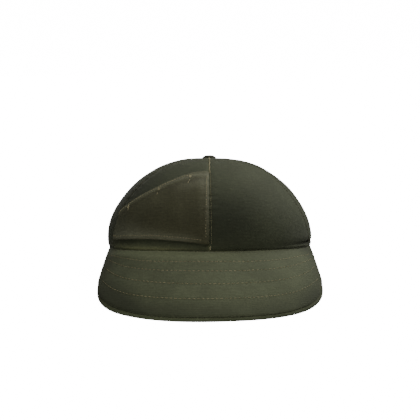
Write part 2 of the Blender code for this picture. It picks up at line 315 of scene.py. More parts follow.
def soft_copy(node, name, edge_crease):
    """A copy of a CAD solid, merged, its flat facets rounded into a soft form."""
    bpy.ops.object.select_all(action="DESELECT")
    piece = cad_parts[node].copy()
    piece.data = piece.data.copy()
    piece.name = name
    bpy.context.scene.collection.objects.link(piece)
    piece.hide_render = False
    piece.hide_set(False)
    piece.select_set(True)
    bpy.context.view_layer.objects.active = piece
    bpy.ops.object.mode_set(mode="EDIT")
    bpy.ops.mesh.select_all(action="SELECT")
    bpy.ops.mesh.remove_doubles(threshold=MERGE_REACH)
    bpy.ops.mesh.tris_convert_to_quads(face_threshold=QUAD_ANGLE, shape_threshold=QUAD_ANGLE)
    bpy.ops.mesh.select_all(action="DESELECT")
    bpy.ops.mesh.edges_select_sharp(sharpness=CREASE_ANGLE)
    bpy.ops.transform.edge_crease(value=edge_crease)
    bpy.ops.object.mode_set(mode="OBJECT")
    rounding = piece.modifiers.new("rounding", "SUBSURF")
    rounding.levels = ROUNDINGS
    rounding.render_levels = ROUNDINGS
    bpy.ops.object.modifier_apply(modifier=rounding.name)
    return piece


def places(piece):
    points = np.empty(len(piece.data.vertices) * 3)
    piece.data.vertices.foreach_get("co", points)
    return points.reshape(-1, 3)


def put_places(piece, points):
    piece.data.vertices.foreach_set("co", np.asarray(points, dtype=np.float32).ravel())
    piece.data.update()


def to_cap(points):
    """Places in the cap's own upright frame, before it is tipped to rest."""
    return (points - REST_PLACE) @ TIP


def from_cap(points):
    return points @ TIP.T + REST_PLACE


def lay_cloth(piece, across, up, wear_and_painted_light, painted_shade):
    """The cloth's own measures, in metres, and where it is painted paler, for wear and as painted
    light, and where shade is painted on it.
    """
    corners = np.empty(len(piece.data.loops), dtype=np.int32)
    piece.data.loops.foreach_get("vertex_index", corners)
    for layer in list(piece.data.uv_layers):
        piece.data.uv_layers.remove(layer)
    layer = piece.data.uv_layers.new(name="cloth")
    flat = np.stack([across, up], axis=1)[corners]
    layer.data.foreach_set("uv", flat.astype(np.float32).ravel())
    for name, values in (("wear_and_painted_light", wear_and_painted_light), ("painted_shade", painted_shade)):
        marks = piece.data.attributes.new(name, "FLOAT", "POINT")
        marks.data.foreach_set("value", np.clip(values, 0.0, 1.0).astype(np.float32))


def finish_cloth(piece, material):
    piece.data.materials.clear()
    piece.data.materials.append(material)
    bpy.ops.object.select_all(action="DESELECT")
    piece.select_set(True)
    bpy.context.view_layer.objects.active = piece
    bpy.ops.object.shade_smooth_by_angle(angle=SHARP_ANGLE)
    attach(piece, "root")


def ramp(value, start, span):
    """0 up to the start, 1 from a span beyond it, and even between."""
    return np.clip((value - start) / span, 0.0, 1.0)


def hump(value, centre, reach):
    return np.exp(-((value - centre) / reach) ** 2)


def humps(rows, rise, degrees):
    """Soft humps on the crown: each one's height, place and reach up, and round in degrees."""
    total = np.zeros(len(rise))
    for height, up, up_reach, around, around_reach in rows:
        total += height * hump(rise, up, up_reach) * hump(degrees, around, around_reach)
    return total


def rim_line(turn):
    way = np.clip(np.abs(turn) - PEAK_END_TURN, 0.0, None) / (math.pi - PEAK_END_TURN)
    return -BACK_DIP * (1.0 - np.cos(math.pi * way)) / 2.0


MEASURING_ROUNDS = 6


def crown_measures(cap):
    """Turn round the crown, share of the way up and distance from its axis."""
    x, y, z = cap.T
    lift = np.clip(z / CROWN_HEIGHT, 0.0, 1.0)
    turn = np.arctan2(x, -y)
    share = np.ones(len(cap))
    for _ in range(MEASURING_ROUNDS):
        height = z - rim_line(turn) * (1.0 - lift) ** 2 + math.tan(TOP_TILT) * y * lift ** 2
        lift = np.clip(height / CROWN_HEIGHT, 0.0, 1.0)
        climb = np.clip((height - WIDEST_HEIGHT) / (CROWN_HEIGHT - WIDEST_HEIGHT), 0.0, 1.0)
        share = np.sqrt(1.0 - climb ** 2)
        turn = np.arctan2(x, -(y - TOP_SHIFT * (1.0 - share)))
    dome = WALL_SHARE + (1.0 - WALL_SHARE) * np.arcsin(climb) / (math.pi / 2)
    wall = np.clip(height / WIDEST_HEIGHT, -1.0, 1.0) * WALL_SHARE
    rise = np.where(height > WIDEST_HEIGHT, dome, wall)
    reach = np.hypot(x, y - TOP_SHIFT * (1.0 - share))
    return turn, rise, reach


def crown_outwards(cap):
    normal = cap / np.array([HALF_WIDTH, HALF_LENGTH, CROWN_HEIGHT]) ** 2
    normal[:, 2] = np.clip(normal[:, 2], 0.0, None)
    return normal / np.linalg.norm(normal, axis=1)[:, None]


# Reach of the puckers beside a seam, their height and their length along it, and two
# rows of them: share of the height, share of the length, and offset from seam to seam
PUCKER_REACH = 0.0055
PUCKER_HEIGHT = 0.00022
PUCKER_LENGTH = 0.0074
PUCKER_ROWS = ((1.0, 1.0, 2.4), (0.6, 0.62, 1.1))
PUCKER_EVENNESS = 0.55
PUCKER_SWELL = 95.0
PUCKER_END = 0.93
PUCKER_FADE = 0.1

# Height of each soft wave of the cloth, and of the two ripples whose product it is, the
# turns along x, y and z and the start
SOFT_WAVES = (
    (0.00035, (61.0, 0.0, 0.0), 1.3, (0.0, 43.0, 74.0), 0.0),
    (0.00022, (112.0, -38.0, 0.0), 0.7, (0.0, 0.0, 131.0), 2.1),
)

# Rows for humps: the fold over the peak on the left and the roll above it, a smaller
# fold on the right, and the fullness of the right and the left side
CROWN_FOLDS = (
    (-0.0013, 0.062, 0.013, 64.0, 20.0),
    (0.0008, 0.110, 0.030, 58.0, 22.0),
    (-0.0007, 0.055, 0.014, -68.0, 12.0),
    (0.0010, 0.30, 0.34, -88.0, 34.0),
    (0.0004, 0.30, 0.34, 88.0, 34.0),
)

# Fullness of the top, where up the crown it grows, and where it dips round the button
TOP_FULLNESS = 0.0022
FULLNESS_START = 0.2
FULLNESS_SPAN = 0.5
TOP_DIP = 0.45
DIP_START = 0.88
DIP_SPAN = 0.08
STILL_BELOW = -0.02
STILL_FADE = 0.06


def ripple(cap, turns, start):
    return np.sin(cap @ np.array(turns) + start)


def crown_relief(cap, turn, rise, reach):
    """How far the canvas stands out: puckers, soft waves and the folds over the peak."""
    push = np.zeros(len(cap))
    along = rise * CROWN_ARC
    for count, seam in enumerate(SEAM_TURNS):
        beside = np.abs(turn - seam) * reach
        beat = np.zeros(len(cap))
        for height, length, offset in PUCKER_ROWS:
            phase = 2 * math.pi * along / (length * PUCKER_LENGTH) + offset * count
            beat += height * np.sin(phase)
        swell = PUCKER_EVENNESS + (1.0 - PUCKER_EVENNESS) * np.sin(along * PUCKER_SWELL + count)
        fade = hump(beside, 0.0, PUCKER_REACH) * ramp(-rise, -PUCKER_END, PUCKER_FADE)
        push += PUCKER_HEIGHT * beat * swell * fade
    for height, turns, start, cross_turns, cross_start in SOFT_WAVES:
        push += height * ripple(cap, turns, start) * ripple(cap, cross_turns, cross_start)
    push += humps(CROWN_FOLDS, rise, np.degrees(turn))
    top_dip = 1.0 - TOP_DIP * ramp(rise, DIP_START, DIP_SPAN)
    push += TOP_FULLNESS * ramp(rise, FULLNESS_START, FULLNESS_SPAN) ** 2 * top_dip
    return push * ramp(rise, STILL_BELOW, STILL_FADE)


CROWN_DARK = (0.0285, 0.033, 0.0160)
CROWN_PALE = (0.063, 0.071, 0.0375)
CROWN_WORN_AND_LIT = (0.105, 0.112, 0.062)
# The right front gore takes a still paler worn colour, so the strip under the patch gets more
# painted light
WORN_AND_PAINTED_LIGHT = (0.205, 0.222, 0.104)
crown_canvas = canvas("crown_canvas", CROWN_DARK, CROWN_PALE, CROWN_WORN_AND_LIT, 0.2, 1.0)
painted_light_canvas = canvas("painted_light_canvas", CROWN_DARK, CROWN_PALE, WORN_AND_PAINTED_LIGHT, 0.2, 1.0)

# Reach of a seam's edge, how far it lies in and how far the gap beside it closes
SEAM_EDGE = 0.0012
SEAM_DIP = 0.00035
SEAM_CLOSING = 0.0002
SEAM_WEAR = 0.55
HEM_WEAR = 0.5
GROUND_REACH = 0.0004

# Rows for humps: where light is painted on the crown (the strip under the patch and high on the
# wearer's left), and where shade is painted on it (the fold over the peak and above it, high on
# the wearer's right, and low on the front of the wearer's left gore)
CROWN_PAINTED_LIGHT = (
    (0.9, 0.045, 0.035, -36.0, 32.0),
    (0.45, 0.62, 0.22, 38.0, 30.0),
)
CROWN_PAINTED_SHADE = (
    (0.9, 0.062, 0.011, 66.0, 18.0),
    (0.60, 0.12, 0.10, 64.0, 28.0),
    (1.10, 0.42, 0.20, -60.0, 26.0),
)
LEFT_FRONT_PAINTED_SHADE = (
    (0.80, 0.24, 0.20, 9.0, 20.0),
)

# Node, turns of its two seams, and the flat width and length it is cut to
GORES = (
    ("front_panel_left", 0.0, 62.0, (0.105, 0.140)),
    ("front_panel_right", -57.5, 0.0, (0.0978, 0.140)),
    ("side_panel_left", 62.0, 121.0, (0.0896, 0.131)),
    ("side_panel_right", -121.0, -57.5, (0.0969, 0.133)),
    ("back_panel_left", 121.0, 180.0, (0.0978, 0.136)),
    ("back_panel_right", -180.0, -121.0, (0.0978, 0.136)),
)

gores = {}
for node, start_turn, end_turn, flat in GORES:
    gore = soft_copy(node, node + "_cloth", 1.0)
    cap = to_cap(places(gore))
    turn, rise, reach = crown_measures(cap)
    middle = math.radians((start_turn + end_turn) / 2)
    half = math.radians((end_turn - start_turn) / 2)
    beside = (half - np.abs(turn - middle)) * reach
    relief = crown_relief(cap, turn, rise, reach)
    relief -= SEAM_DIP * hump(beside, 0.0, SEAM_EDGE) * ramp(rise, 0.0, WALL_SHARE)
    shift = SEAM_CLOSING * np.clip(1.0 - beside / SEAM_EDGE, 0.0, 1.0) * np.sign(turn - middle)
    round_crown = np.stack([np.cos(turn), np.sin(turn), np.zeros(len(cap))], axis=1)
    closed = cap + round_crown * shift[:, None]
    grounded = places(gore)[:, 2] < GROUND_REACH
    moved = from_cap(closed + crown_outwards(cap) * relief[:, None])
    moved[:, 2] = np.clip(moved[:, 2], 0.0, None)
    moved[grounded, 2] = places(gore)[grounded, 2]
    put_places(gore, moved)
    degrees = np.degrees(turn)
    above_hem = np.clip(rise * CROWN_ARC + HEM_DEPTH, 0.0, None)
    wear_and_painted_light = SEAM_WEAR * np.exp(-np.clip(beside, 0.0, None) / SEAM_EDGE)
    wear_and_painted_light += HEM_WEAR * np.exp(-above_hem / SEAM_EDGE)
    # Painted light: the strip under the patch and the upper wearer's left are made paler
    wear_and_painted_light += humps(CROWN_PAINTED_LIGHT, rise, degrees)
    # Painted shade: darker in the fold over the peak and above it, high on the wearer's right, and
    # low on the front of the wearer's left gore
    painted_shade = humps(CROWN_PAINTED_SHADE, rise, degrees)
    painted_shade += humps(LEFT_FRONT_PAINTED_SHADE, rise, degrees) * (turn > 0)
    # The rib runs straight across each gore, so near the top it lies in chords
    below_top = (1.0 - rise) * CROWN_ARC * (1.0 - (1.0 - np.cos(turn - middle)) * rise ** 2)
    lay_cloth(gore, (turn - middle) * reach, CROWN_ARC - below_top, wear_and_painted_light, painted_shade)
    finish_cloth(gore, painted_light_canvas if node == "front_panel_right" else crown_canvas)
    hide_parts(node)
    gores[node] = gore


# The button
# A small metal button covered in the crown's canvas closes the top. The cloth is
# gathered under its rim, which draws fine pleats into its edge.

PLEATS = 14
PLEAT_DEPTH = 0.00015
PLEAT_START = 0.003
PLEAT_SPAN = 0.003
BUTTON_LIFT = 0.0013
BUTTON_SINK = 0.0006
BUTTON_CREASE = 0.75
BUTTON_WEAR = 0.4
BUTTON_PAINTED_SHADE = 0.5
BUTTON_UNDERSIDE = -0.001

BUTTON_DARK = (0.024, 0.027, 0.014)
BUTTON_PALE = (0.050, 0.055, 0.031)
BUTTON_WORN = (0.08, 0.083, 0.052)
button_canvas = canvas("button_canvas", BUTTON_DARK, BUTTON_PALE, BUTTON_WORN, 0.15, 1.0)
button = soft_copy("top_button", "top_button_cloth", BUTTON_CREASE)
points = places(button)
out = points - points.mean(axis=0)
spread = np.hypot(out[:, 0], out[:, 1])
spin = np.arctan2(out[:, 1], out[:, 0])
rimward = ramp(spread, PLEAT_START, PLEAT_SPAN)
pleat = PLEAT_DEPTH * np.sin(PLEATS * spin) * rimward
points[:, 0] += pleat * np.cos(spin)
points[:, 1] += pleat * np.sin(spin)
points[:, 2] += BUTTON_LIFT - BUTTON_SINK * rimward
put_places(button, points)
# Painted shade on the button's underside; its pleated rim is paler with wear
under = out[:, 2] < BUTTON_UNDERSIDE
lay_cloth(button, points[:, 0], points[:, 1], BUTTON_WEAR * rimward, BUTTON_PAINTED_SHADE * under)
finish_cloth(button, button_canvas)
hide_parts("top_button")


# The patch
# A thinner brownish canvas sewn over the wearer's right front gore and caught in the
# middle and side seams. Its sloping upper edge is folded to a thick lip, its lower edge
# is turned under, and beside the middle seam the cloth stands in a soft upright fold.

# Share of the way from the middle seam to the side seam, and the lower and the upper
# edge there as shares of the way up
PATCH_EDGES = (
    (0.00, 0.083, 0.628),
    (0.11, 0.095, 0.628),
    (0.20, 0.104, 0.614),
    (0.30, 0.111, 0.592),
    (0.45, 0.118, 0.541),
    (0.60, 0.115, 0.478),
    (0.74, 0.110, 0.413),
    (0.91, 0.101, 0.328),
    (1.00, 0.096, 0.277),
)
PATCH_TURN = math.radians(57.5)
PATCH_CREASE = 0.7

# The lip's depth as a share of the way up, and how many times that it is on its way to
# the side seam; and how far its edge sags at the middle seam
LIP_SHARE = 0.026
LIP_STATIONS = (0.10, 0.42, 0.66, 1.00)
LIP_DEPTHS = (1.65, 1.20, 1.00, 0.90)
LIP_SAG = 0.030


def patch_edges(share):
    """The patch's lower and upper edge as cut, and its lip's depth, as shares of the way up."""
    stations, lower, upper = zip(*PATCH_EDGES)
    lip = LIP_SHARE * np.interp(share, LIP_STATIONS, LIP_DEPTHS)
    return np.interp(share, stations, lower), np.interp(share, stations, upper), lip


# How square the crown is in plan at the front and the back of its rim, and at its top
FRONT_SQUARENESS = 2.5
BACK_SQUARENESS = 2.2
TOP_SQUARENESS = 2.05


def crown_spot(turn, rise):
    """A place on the crown in the cap's own frame, before its folds and puckers."""
    climb = np.clip((rise - WALL_SHARE) / (1.0 - WALL_SHARE), 0.0, 1.0) * math.pi / 2
    height = WIDEST_HEIGHT + (CROWN_HEIGHT - WIDEST_HEIGHT) * np.sin(climb)
    height = np.where(rise < WALL_SHARE, WIDEST_HEIGHT * rise / WALL_SHARE, height)
    lift = height / CROWN_HEIGHT
    power = np.where(np.cos(turn) > 0, FRONT_SQUARENESS, BACK_SQUARENESS)
    power = power + (TOP_SQUARENESS - power) * lift
    side = (np.abs(np.sin(turn)) / HALF_WIDTH) ** power
    ahead = (np.abs(np.cos(turn)) / HALF_LENGTH) ** power
    share = np.cos(climb)
    radius = (side + ahead) ** (-1.0 / power) * share
    y = -radius * np.cos(turn) + TOP_SHIFT * (1.0 - share)
    z = height + rim_line(turn) * (1.0 - lift) ** 2 - math.tan(TOP_TILT) * y * lift ** 2
    return np.stack([radius * np.sin(turn), y, z], axis=-1)


# Height of the upright fold, and its place and reach round the crown in degrees, and a
# row for humps: the slack beside it
UPRIGHT_FOLD = (0.0006, -1.6, 0.8)
SLACK = (
    (0.0004, 0.22, 0.14, -5.0, 2.2),
)
INSIDE_FADE = 0.05

# How far the lip and the turned lower edge stand out, and the groove under the lip
LIP_HEIGHT = 0.0005
GROOVE_DEPTH = 0.0003
GROOVE_REACH = 0.35
TURNED_EDGE = (0.0003, 0.012, 0.010)
PATCH_RIPPLE = (0.00035, 0.42, 8.0)
LEAST_RELIEF = 0.0001
PATCH_TUCK = 0.0015
TUCK_REACH = 0.0030

# Paler paint on the lip and below it and along the upright fold, which is wear with a painted
# highlight, and painted light along the lower edge; and rows for humps of painted light: on
# the slack, and where the patch meets the side seam
LIP_WEAR_AND_HIGHLIGHT = 0.26
BELOW_LIP_WEAR_AND_HIGHLIGHT = 0.52
BELOW_LIP = 3.4
BELOW_LIP_SPAN = 2.8
BELOW_LIP_POWER = 1.5
FOLD_WEAR_AND_HIGHLIGHT = (0.22, -1.5, 1.2)
SLACK_PAINTED_LIGHT = (
    (0.42, 0.46, 0.22, -2.5, 4.5),
)
SIDE_PAINTED_LIGHT = (
    (0.60, 0.185, 0.07, -44.0, 18.0),
)
LOWER_PAINTED_LIGHT = (0.68, 0.020, 0.040)
LOWER_PAINTED_LIGHT_TURN = 12.0
# Painted highlight high on the patch near the middle seam
TOP_PAINTED_LIGHT = (0.45, 0.09, 0.05, -11.0, 9.0)
# Painted shade under the lip and low in the middle of the patch
UNDER_LIP_PAINTED_SHADE = 0.4
PATCH_PAINTED_SHADE = (
    (0.35, 0.27, 0.10, -24.0, 18.0),
)

PATCH_DARK = (0.0385, 0.0378, 0.0172)
PATCH_PALE = (0.079, 0.0800, 0.0395)
PATCH_WORN_AND_LIT = (0.160, 0.164, 0.108)
patch_canvas = canvas("patch_canvas", PATCH_DARK, PATCH_PALE, PATCH_WORN_AND_LIT, 0.1, 0.8)
patch = soft_copy("front_patch", "front_patch_cloth", PATCH_CREASE)
cap = to_cap(places(patch))
turn, rise, reach = crown_measures(cap)
degrees = np.degrees(turn)
share = np.clip(-turn / PATCH_TURN, 0.0, 1.0)
low, high, lip = patch_edges(share)
sag = LIP_SAG * (1.0 - share)
slid = rise - sag * np.clip((rise - low) / (high - low), 0.0, 1.0) ** 2
cap += crown_spot(turn, slid) - crown_spot(turn, rise)
rise, high = slid, high - sag

inside = ramp(rise, low, INSIDE_FADE) * ramp(-rise, -high, INSIDE_FADE)
fold, fold_turn, fold_reach = UPRIGHT_FOLD
edge_height, edge_rise, edge_reach = TURNED_EDGE
ripple_height, ripple_round, ripple_up = PATCH_RIPPLE
relief = crown_relief(cap, turn, rise, reach)
relief += fold * hump(degrees, fold_turn, fold_reach) * inside
relief += humps(SLACK, rise, degrees) * inside
relief += LIP_HEIGHT * hump(rise, high - 0.5 * lip, 0.4 * lip)
relief -= GROOVE_DEPTH * hump(rise, high - lip, GROOVE_REACH * LIP_SHARE)
relief += edge_height * hump(rise, low + edge_rise, edge_reach)
relief += ripple_height * np.sin(ripple_round * degrees + ripple_up * rise) * inside
relief = np.clip(relief, crown_relief(cap, turn, rise, reach) - LEAST_RELIEF, None)
seamward = np.minimum(-turn, turn + PATCH_TURN) * reach
relief -= PATCH_TUCK * np.clip(1.0 - seamward / TUCK_REACH, 0.0, 1.0) ** 2
put_places(patch, from_cap(cap + crown_outwards(cap) * relief[:, None]))

fold_pale_height, fold_pale_turn, fold_pale_reach = FOLD_WEAR_AND_HIGHLIGHT
lower_height, lower_rise, lower_reach = LOWER_PAINTED_LIGHT
top_height, top_below, top_reach, top_turn, top_around = TOP_PAINTED_LIGHT
# Wear with a painted highlight on the lip, below it and on the upright fold; painted light on the
# slack, by the side seam, along the lower edge and high by the middle seam
wear_and_painted_light = LIP_WEAR_AND_HIGHLIGHT * ramp(rise, high - lip, 0.4 * LIP_SHARE)
below_lip = ramp(rise, high - BELOW_LIP * lip, BELOW_LIP_SPAN * lip)
wear_and_painted_light += BELOW_LIP_WEAR_AND_HIGHLIGHT * below_lip ** BELOW_LIP_POWER
wear_and_painted_light += fold_pale_height * hump(degrees, fold_pale_turn, fold_pale_reach) * inside
wear_and_painted_light += humps(SLACK_PAINTED_LIGHT, rise, degrees) * inside
wear_and_painted_light += humps(SIDE_PAINTED_LIGHT, rise, degrees)
lower = lower_height * hump(rise, low + lower_rise, lower_reach)
wear_and_painted_light += lower * ramp(-degrees, 0.0, LOWER_PAINTED_LIGHT_TURN)
top = top_height * hump(rise, high - top_below, top_reach)
wear_and_painted_light += top * hump(degrees, top_turn, top_around)
# Painted shade under the lip and low in the middle of the patch
under_lip = high - lip - 0.4 * LIP_SHARE
painted_shade = UNDER_LIP_PAINTED_SHADE * hump(rise, under_lip, 0.4 * LIP_SHARE)
painted_shade += humps(PATCH_PAINTED_SHADE, rise, degrees)
lay_cloth(patch, turn * reach, rise * CROWN_ARC, wear_and_painted_light, painted_shade)
finish_cloth(patch, patch_canvas)
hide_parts("front_patch")


# The peak
# Two stiff cloths, sewn to the front of the rim and joined round the edge, where the
# under cloth rolls a little forward. Four rows of stitches quilt the upper cloth,
# and the cloth stands a trifle higher between the rows.

PEAK_CREASE = 0.75

# The outer edge in plan: half width, place of the widest line, and the reach and the
# squareness of the rounded front; then an end, and how quickly the edge draws in to it
PEAK_HALF_WIDTH = 0.0881
PEAK_WIDEST = -0.0938
PEAK_AHEAD = 0.0657
PEAK_SQUARENESS = 2.05
PEAK_END = (0.0835, -0.0300)
EDGE_DRAW = 0.85

# Front of the rim, and for each row of quilting how far it lies ahead of that and the
# three terms of its curve over half the peak
RIM_FRONT = -0.0963
QUILT_ROWS = (
    (0.0138, 0.0149, 0.0305, 0.0040),
    (0.0248, 0.0200, 0.0204, 0.0090),
    (0.0382, 0.0259, 0.0093, 0.0112),
    (0.0513, 0.0256, 0.0078, 0.0080),
)
RIM_SEAM = (0.0, 0.0205, 0.026, 0.0)
QUILT_SPAN = 0.080
QUILT_DEPTH = 0.00018
QUILT_REACH = 0.0016

# The edge's roll outwards and forwards, as factors, and where it fades by the rim
EDGE_ROLL_WIDTH = 1.008
EDGE_ROLL_REACH = 1.016
ROLL_FADE = 0.012
END_NARROWING = 0.006
END_START = -0.075
END_SPAN = 0.045
RIM_CLOSING = 0.0005
RIM_CLOSING_REACH = 0.003

# The turned edge, the fullness between edge and rim, and the cloth's slow swell
EDGE_REACH = 0.004
EDGE_TURN = 0.0009
EDGE_FACING = 0.3
PEAK_PUFF = 0.0009
PUFF_REACH = 0.012
PUFF_SPAN = 0.08
PEAK_SWELL = (0.00025, 52.0, 0.8, 67.0)


def peak_margin(x, y):
    """How far a place on the peak lies in from its outer edge, in plan."""
    side = np.abs(x)
    ahead = np.clip(PEAK_WIDEST - y, 0.0, None)
    power = PEAK_SQUARENESS
    share = (side / PEAK_HALF_WIDTH) ** power + (ahead / PEAK_AHEAD) ** power
    share = np.clip(share, 1e-4, None) ** (1.0 / power)
    front = np.hypot(side, ahead) * (1.0 / share - 1.0)
    back = np.clip((y - PEAK_WIDEST) / (PEAK_END[1] - PEAK_WIDEST), 0.0, 1.0) ** EDGE_DRAW
    sides = PEAK_HALF_WIDTH - (PEAK_HALF_WIDTH - PEAK_END[0]) * back - side
    return np.clip(np.where(y < PEAK_WIDEST, front, sides), 0.0, None)


def quilt_line(row, x):
    ahead, square, fourth, tenth = row
    side = np.abs(x) / QUILT_SPAN
    return RIM_FRONT - ahead + square * side ** 2 + fourth * side ** 4 + tenth * side ** 10


# Painted shade over the right end, along the rim seam, in the quilting, along the edge and
# on the under cloth; and at the front corners, where it starts and how far it reaches
RIGHT_SHADE = (0.14, -0.035, 0.045)
QUILT_SHADE = 0.1
SEAM_SHADE = (0.55, -0.01, 0.04)
SEAM_SHADE_REACH = 0.010
EDGE_SHADE = 0.74
EDGE_SHADE_SLOPE = 0.6
EDGE_SHADE_GAP = (0.30, 0.02, 0.035)
EDGE_SHADE_REACH = 0.0095
CORNER_SHADE = 0.55
CORNER_MIDDLE = 0.008
CORNER_SIDE = (0.056, 0.020)
CORNER_FRONT = (-0.098, 0.020)
CORNER_REACH = 0.016
UNDER_SHADE = (0.4, 0.05)

# Wear along the edge, and painted light along the rim seam and in a band behind the edge
EDGE_WEAR = (0.2, 0.0012)
SEAM_PAINTED_LIGHT_LEVEL = 0.85
SEAM_PAINTED_LIGHT_SLOPE = 8.0
SEAM_PAINTED_LIGHT_REACH = 0.013
BAND_PAINTED_LIGHT = (0.28, 0.014, 0.008)
BAND_PLACE = (0.018, 0.040)
WEAVE_CENTRE = -0.03

PEAK_DARK = (0.056, 0.063, 0.032)
PEAK_PALE = (0.110, 0.126, 0.067)
PEAK_WORN_AND_LIT = (0.215, 0.240, 0.132)
peak_canvas = canvas("peak_canvas", PEAK_DARK, PEAK_PALE, PEAK_WORN_AND_LIT, 0.06, 0.45)
for node in ("peak_top", "peak_under"):
    on_top = node == "peak_top"
    peak = soft_copy(node, node + "_cloth", PEAK_CREASE)
    cap = to_cap(places(peak))
    x, y, z = cap.T
    dent = np.zeros(len(cap))
    for row in QUILT_ROWS if on_top else ():
        dent += hump(y, quilt_line(row, x), QUILT_REACH)
    swell_height, swell_across, swell_start, swell_ahead = PEAK_SWELL
    swell = swell_height * np.sin(swell_across * x + swell_start) * np.sin(swell_ahead * y)
    normals = np.empty(len(cap) * 3, dtype=np.float32)
    peak.data.vertices.foreach_get("normal", normals)
    facing_up = (normals.reshape(-1, 3) @ TIP)[:, 2]
    inner_face = -facing_up if on_top else facing_up
    margin = peak_margin(x, y)
    edge = hump(margin, 0.0, EDGE_REACH)
    ahead = np.clip(-(y + 0.5 * np.abs(x)) / PUFF_SPAN, 0.0, 1.0)
    behind = ramp(y, END_START, END_SPAN)
    rim = crown_spot(np.arctan2(x, -y), np.zeros(len(cap)))
    off_rim = np.hypot(x, y) - np.hypot(rim[:, 0], rim[:, 1])
    away = 1.0 - hump(off_rim, 0.0, ROLL_FADE)
    widening = (EDGE_ROLL_WIDTH - 1.0) * away * (1.0 - behind)
    closing = RIM_CLOSING * hump(off_rim, 0.0, RIM_CLOSING_REACH) / np.hypot(x, y)
    moved = cap.copy()
    moved[:, 2] += swell - QUILT_DEPTH * dent
    moved[:, 2] += EDGE_TURN * edge * np.clip(inner_face + EDGE_FACING, 0.0, 1.0)
    moved[:, 2] += PEAK_PUFF * (1.0 - hump(margin, 0.0, PUFF_REACH)) * ahead
    moved[:, 0] *= 1.0 + widening - END_NARROWING * behind
    rolled = RIM_FRONT + (y - RIM_FRONT) * EDGE_ROLL_REACH
    moved[:, 1] = np.where(y < RIM_FRONT, rolled, y)
    moved[:, :2] -= cap[:, :2] * closing[:, None]
    moved = from_cap(moved)
    moved[:, 2] = np.clip(moved[:, 2], 0.0, None)
    put_places(peak, moved)

    from_seam = quilt_line(RIM_SEAM, x) - y
    by_seam = hump(from_seam, 0.0, SEAM_SHADE_REACH)
    # Painted shade: darker over the right end, in the quilting grooves, by the rim seam, along the
    # edge and at the front corners
    level, start, span = RIGHT_SHADE
    shade = level * ramp(-x, -start, span) * (1.0 - by_seam) + QUILT_SHADE * dent
    if on_top:
        level, start, span = SEAM_SHADE
        shade += level * by_seam * ramp(x, start, span)
        gap, gap_place, gap_reach = EDGE_SHADE_GAP
        level = EDGE_SHADE - EDGE_SHADE_SLOPE * x - gap * hump(x, gap_place, gap_reach)
        shade += level * hump(margin, 0.0, EDGE_SHADE_REACH)
        front_start, front_span = CORNER_FRONT
        corner = ramp(np.abs(x - CORNER_MIDDLE), *CORNER_SIDE) * ramp(-y, -front_start, front_span)
        shade += CORNER_SHADE * corner * hump(margin, 0.0, CORNER_REACH)
    else:
        level, span = UNDER_SHADE
        shade += level * ramp(x, 0.0, span)
    level, edge_reach = EDGE_WEAR
    wear_and_painted_light = level * hump(margin, 0.0, edge_reach)
    # Painted light along the rim seam, strongest towards the wearer's right, and in a band behind
    # the front edge
    seam_level = SEAM_PAINTED_LIGHT_LEVEL - SEAM_PAINTED_LIGHT_SLOPE * x
    wear_and_painted_light += seam_level * hump(from_seam, 0.0, SEAM_PAINTED_LIGHT_REACH)
    level, band_place, band_reach = BAND_PAINTED_LIGHT
    wear_and_painted_light += level * hump(margin, band_place, band_reach) * hump(x, *BAND_PLACE)
    lay_cloth(peak, x, np.hypot(x, y - WEAVE_CENTRE), wear_and_painted_light, shade)
    finish_cloth(peak, peak_canvas)
    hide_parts(node)


# The sewing
# Cotton thread, tan where it was meant to show and dull green where it wasn't. Each
# stitch is a short grain of thread pulled down into the cloth. Short tacks hold the
# patch's folded lip, and a close whipped row runs up the crown's middle seam.

OUTSIDE_REACH = 0.003
DROP_HEIGHT = 0.05


def cloth_tree(piece):
    return BVHTree.FromPolygons([v.co[:] for v in piece.data.vertices],
                                [p.vertices[:] for p in piece.data.polygons])


def press_on(tree, spots):
    """The places of a crown line on the outside of a finished piece, and which way is out."""
    outwards = crown_outwards(spots)
    outside = from_cap(spots + OUTSIDE_REACH * outwards)
    found = [tree.find_nearest(Vector(point)) for point in outside]
    return np.array([hit[0][:] for hit in found]), outwards @ TIP.T


def drop_on(tree, x, y):
    """The places on the peak's upper cloth under a line drawn over it."""
    found, out = [], []
    down = Vector((TIP @ np.array([0.0, 0.0, -1.0])).tolist())
    for spot in np.stack([x, y, np.full(len(x), DROP_HEIGHT)], axis=1):
        hit = tree.ray_cast(Vector(from_cap(spot)), down)
        if hit[0] is not None:
            found.append(hit[0][:])
            out.append(hit[1][:])
    return np.array(found), np.array(out)


bpy.ops.object.select_all(action="DESELECT")
bpy.ops.mesh.primitive_uv_sphere_add(segments=8, ring_count=6, radius=0.5, location=(0, 0, 0))
stitch_form = bpy.context.object
stitch_places = places(stitch_form)
stitch_faces = [p.vertices[:] for p in stitch_form.data.polygons]
bpy.data.objects.remove(stitch_form, do_unlink=True)

# Scale of the thread's fuzz and of its duller lengths, and how dark these are
FUZZ_SCALE = 2600.0
DULL_SCALE = 90.0
THREAD_DETAIL = 2.0
DULL_SHARE = 0.55
THREAD_RANGE = (0.3, 0.65)
THREAD_BUMP = (0.6, 0.0001)
THREAD_ROUGHNESS = 0.75
THREAD_SPECULAR = 0.3


